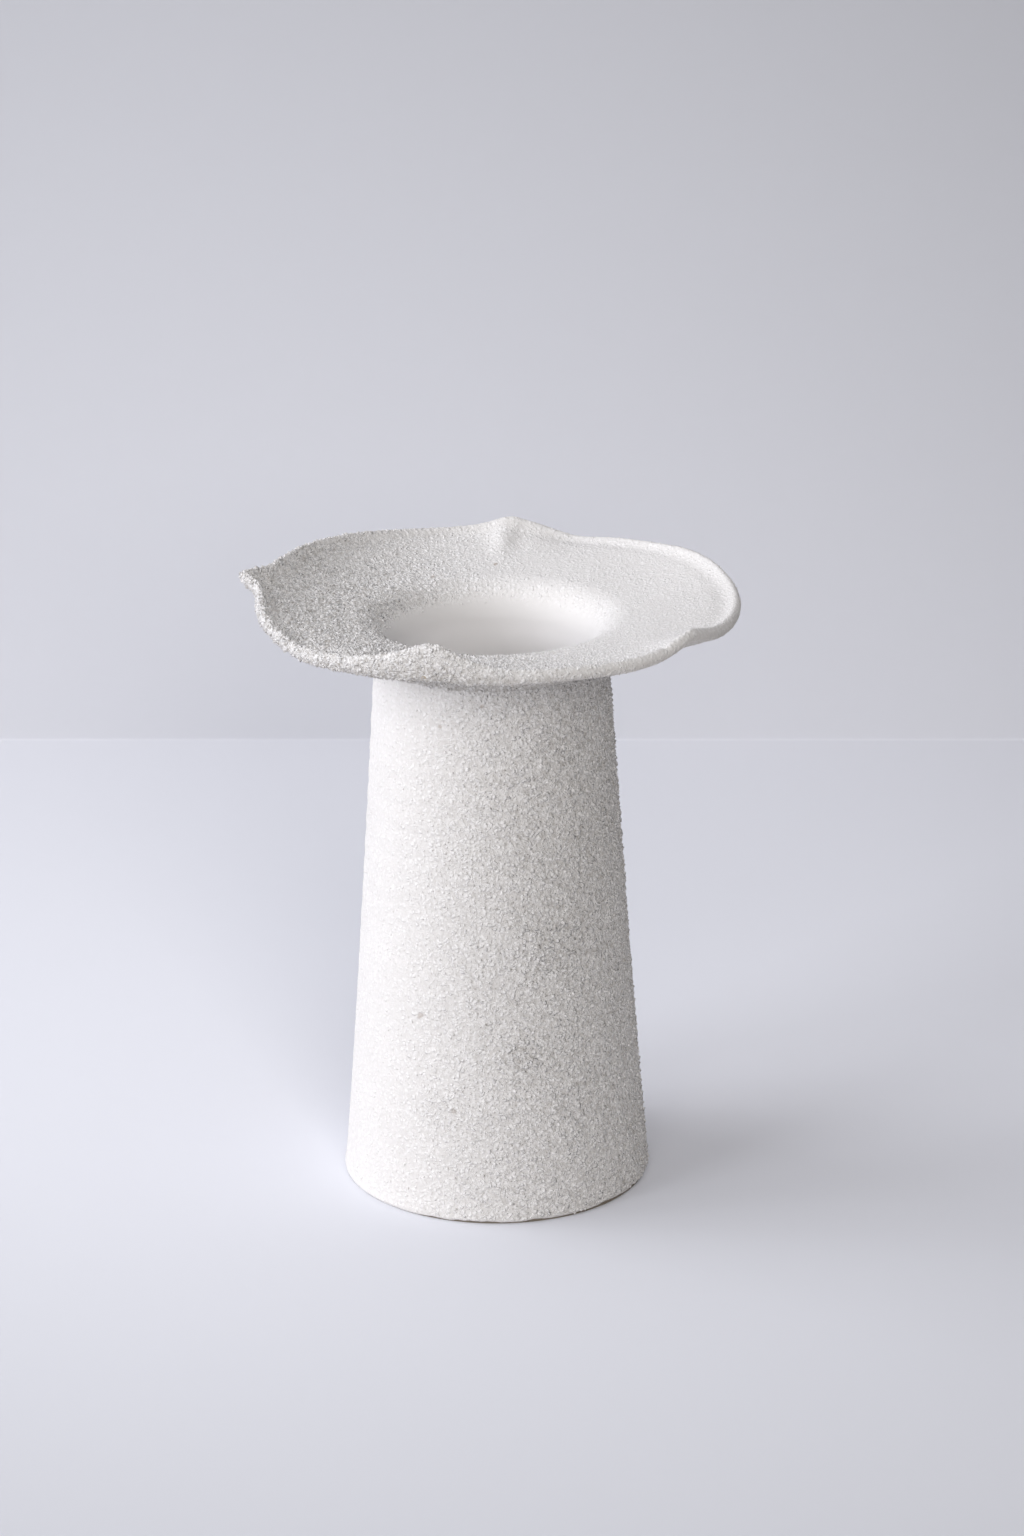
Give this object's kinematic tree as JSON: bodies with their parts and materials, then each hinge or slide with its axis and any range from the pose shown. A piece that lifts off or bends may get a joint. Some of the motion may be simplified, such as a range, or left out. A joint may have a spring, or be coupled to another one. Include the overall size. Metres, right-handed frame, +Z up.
{
  "type": "ceramic vase",
  "caption": "Tall white vase: a tapered round body with a sandy grit coat, a smooth throat and a wide wavy leaf-shaped rim with pinched corners.",
  "frame": {"origin": "centre of the resting face of the foot", "axes": "+Z up through the throat; -Y towards the front, the side the picture shows; +X to the viewer's right"},
  "size_m": [0.1909, 0.1857, 0.244],
  "materials": {
    "white_grit": "matt sandy grit slip, off-white, fired dry",
    "smooth_liner": "smooth satin-matt white liner",
    "bare_clay": "bare fired stoneware, wiped smooth"
  },
  "bodies": {
    "root": {"foot_ring": "bare_clay", "floor_disc": "bare_clay", "floor_coil": "bare_clay", "body_wall": "bare_clay", "neck_coil": "bare_clay", "leaf_rim": "bare_clay", "liner_glaze": "smooth_liner", "body_grit_coat": "white_grit", "leaf_underside_grit_coat": "white_grit", "leaf_top_grit_coat": "white_grit"}
  },
  "joints": []
}
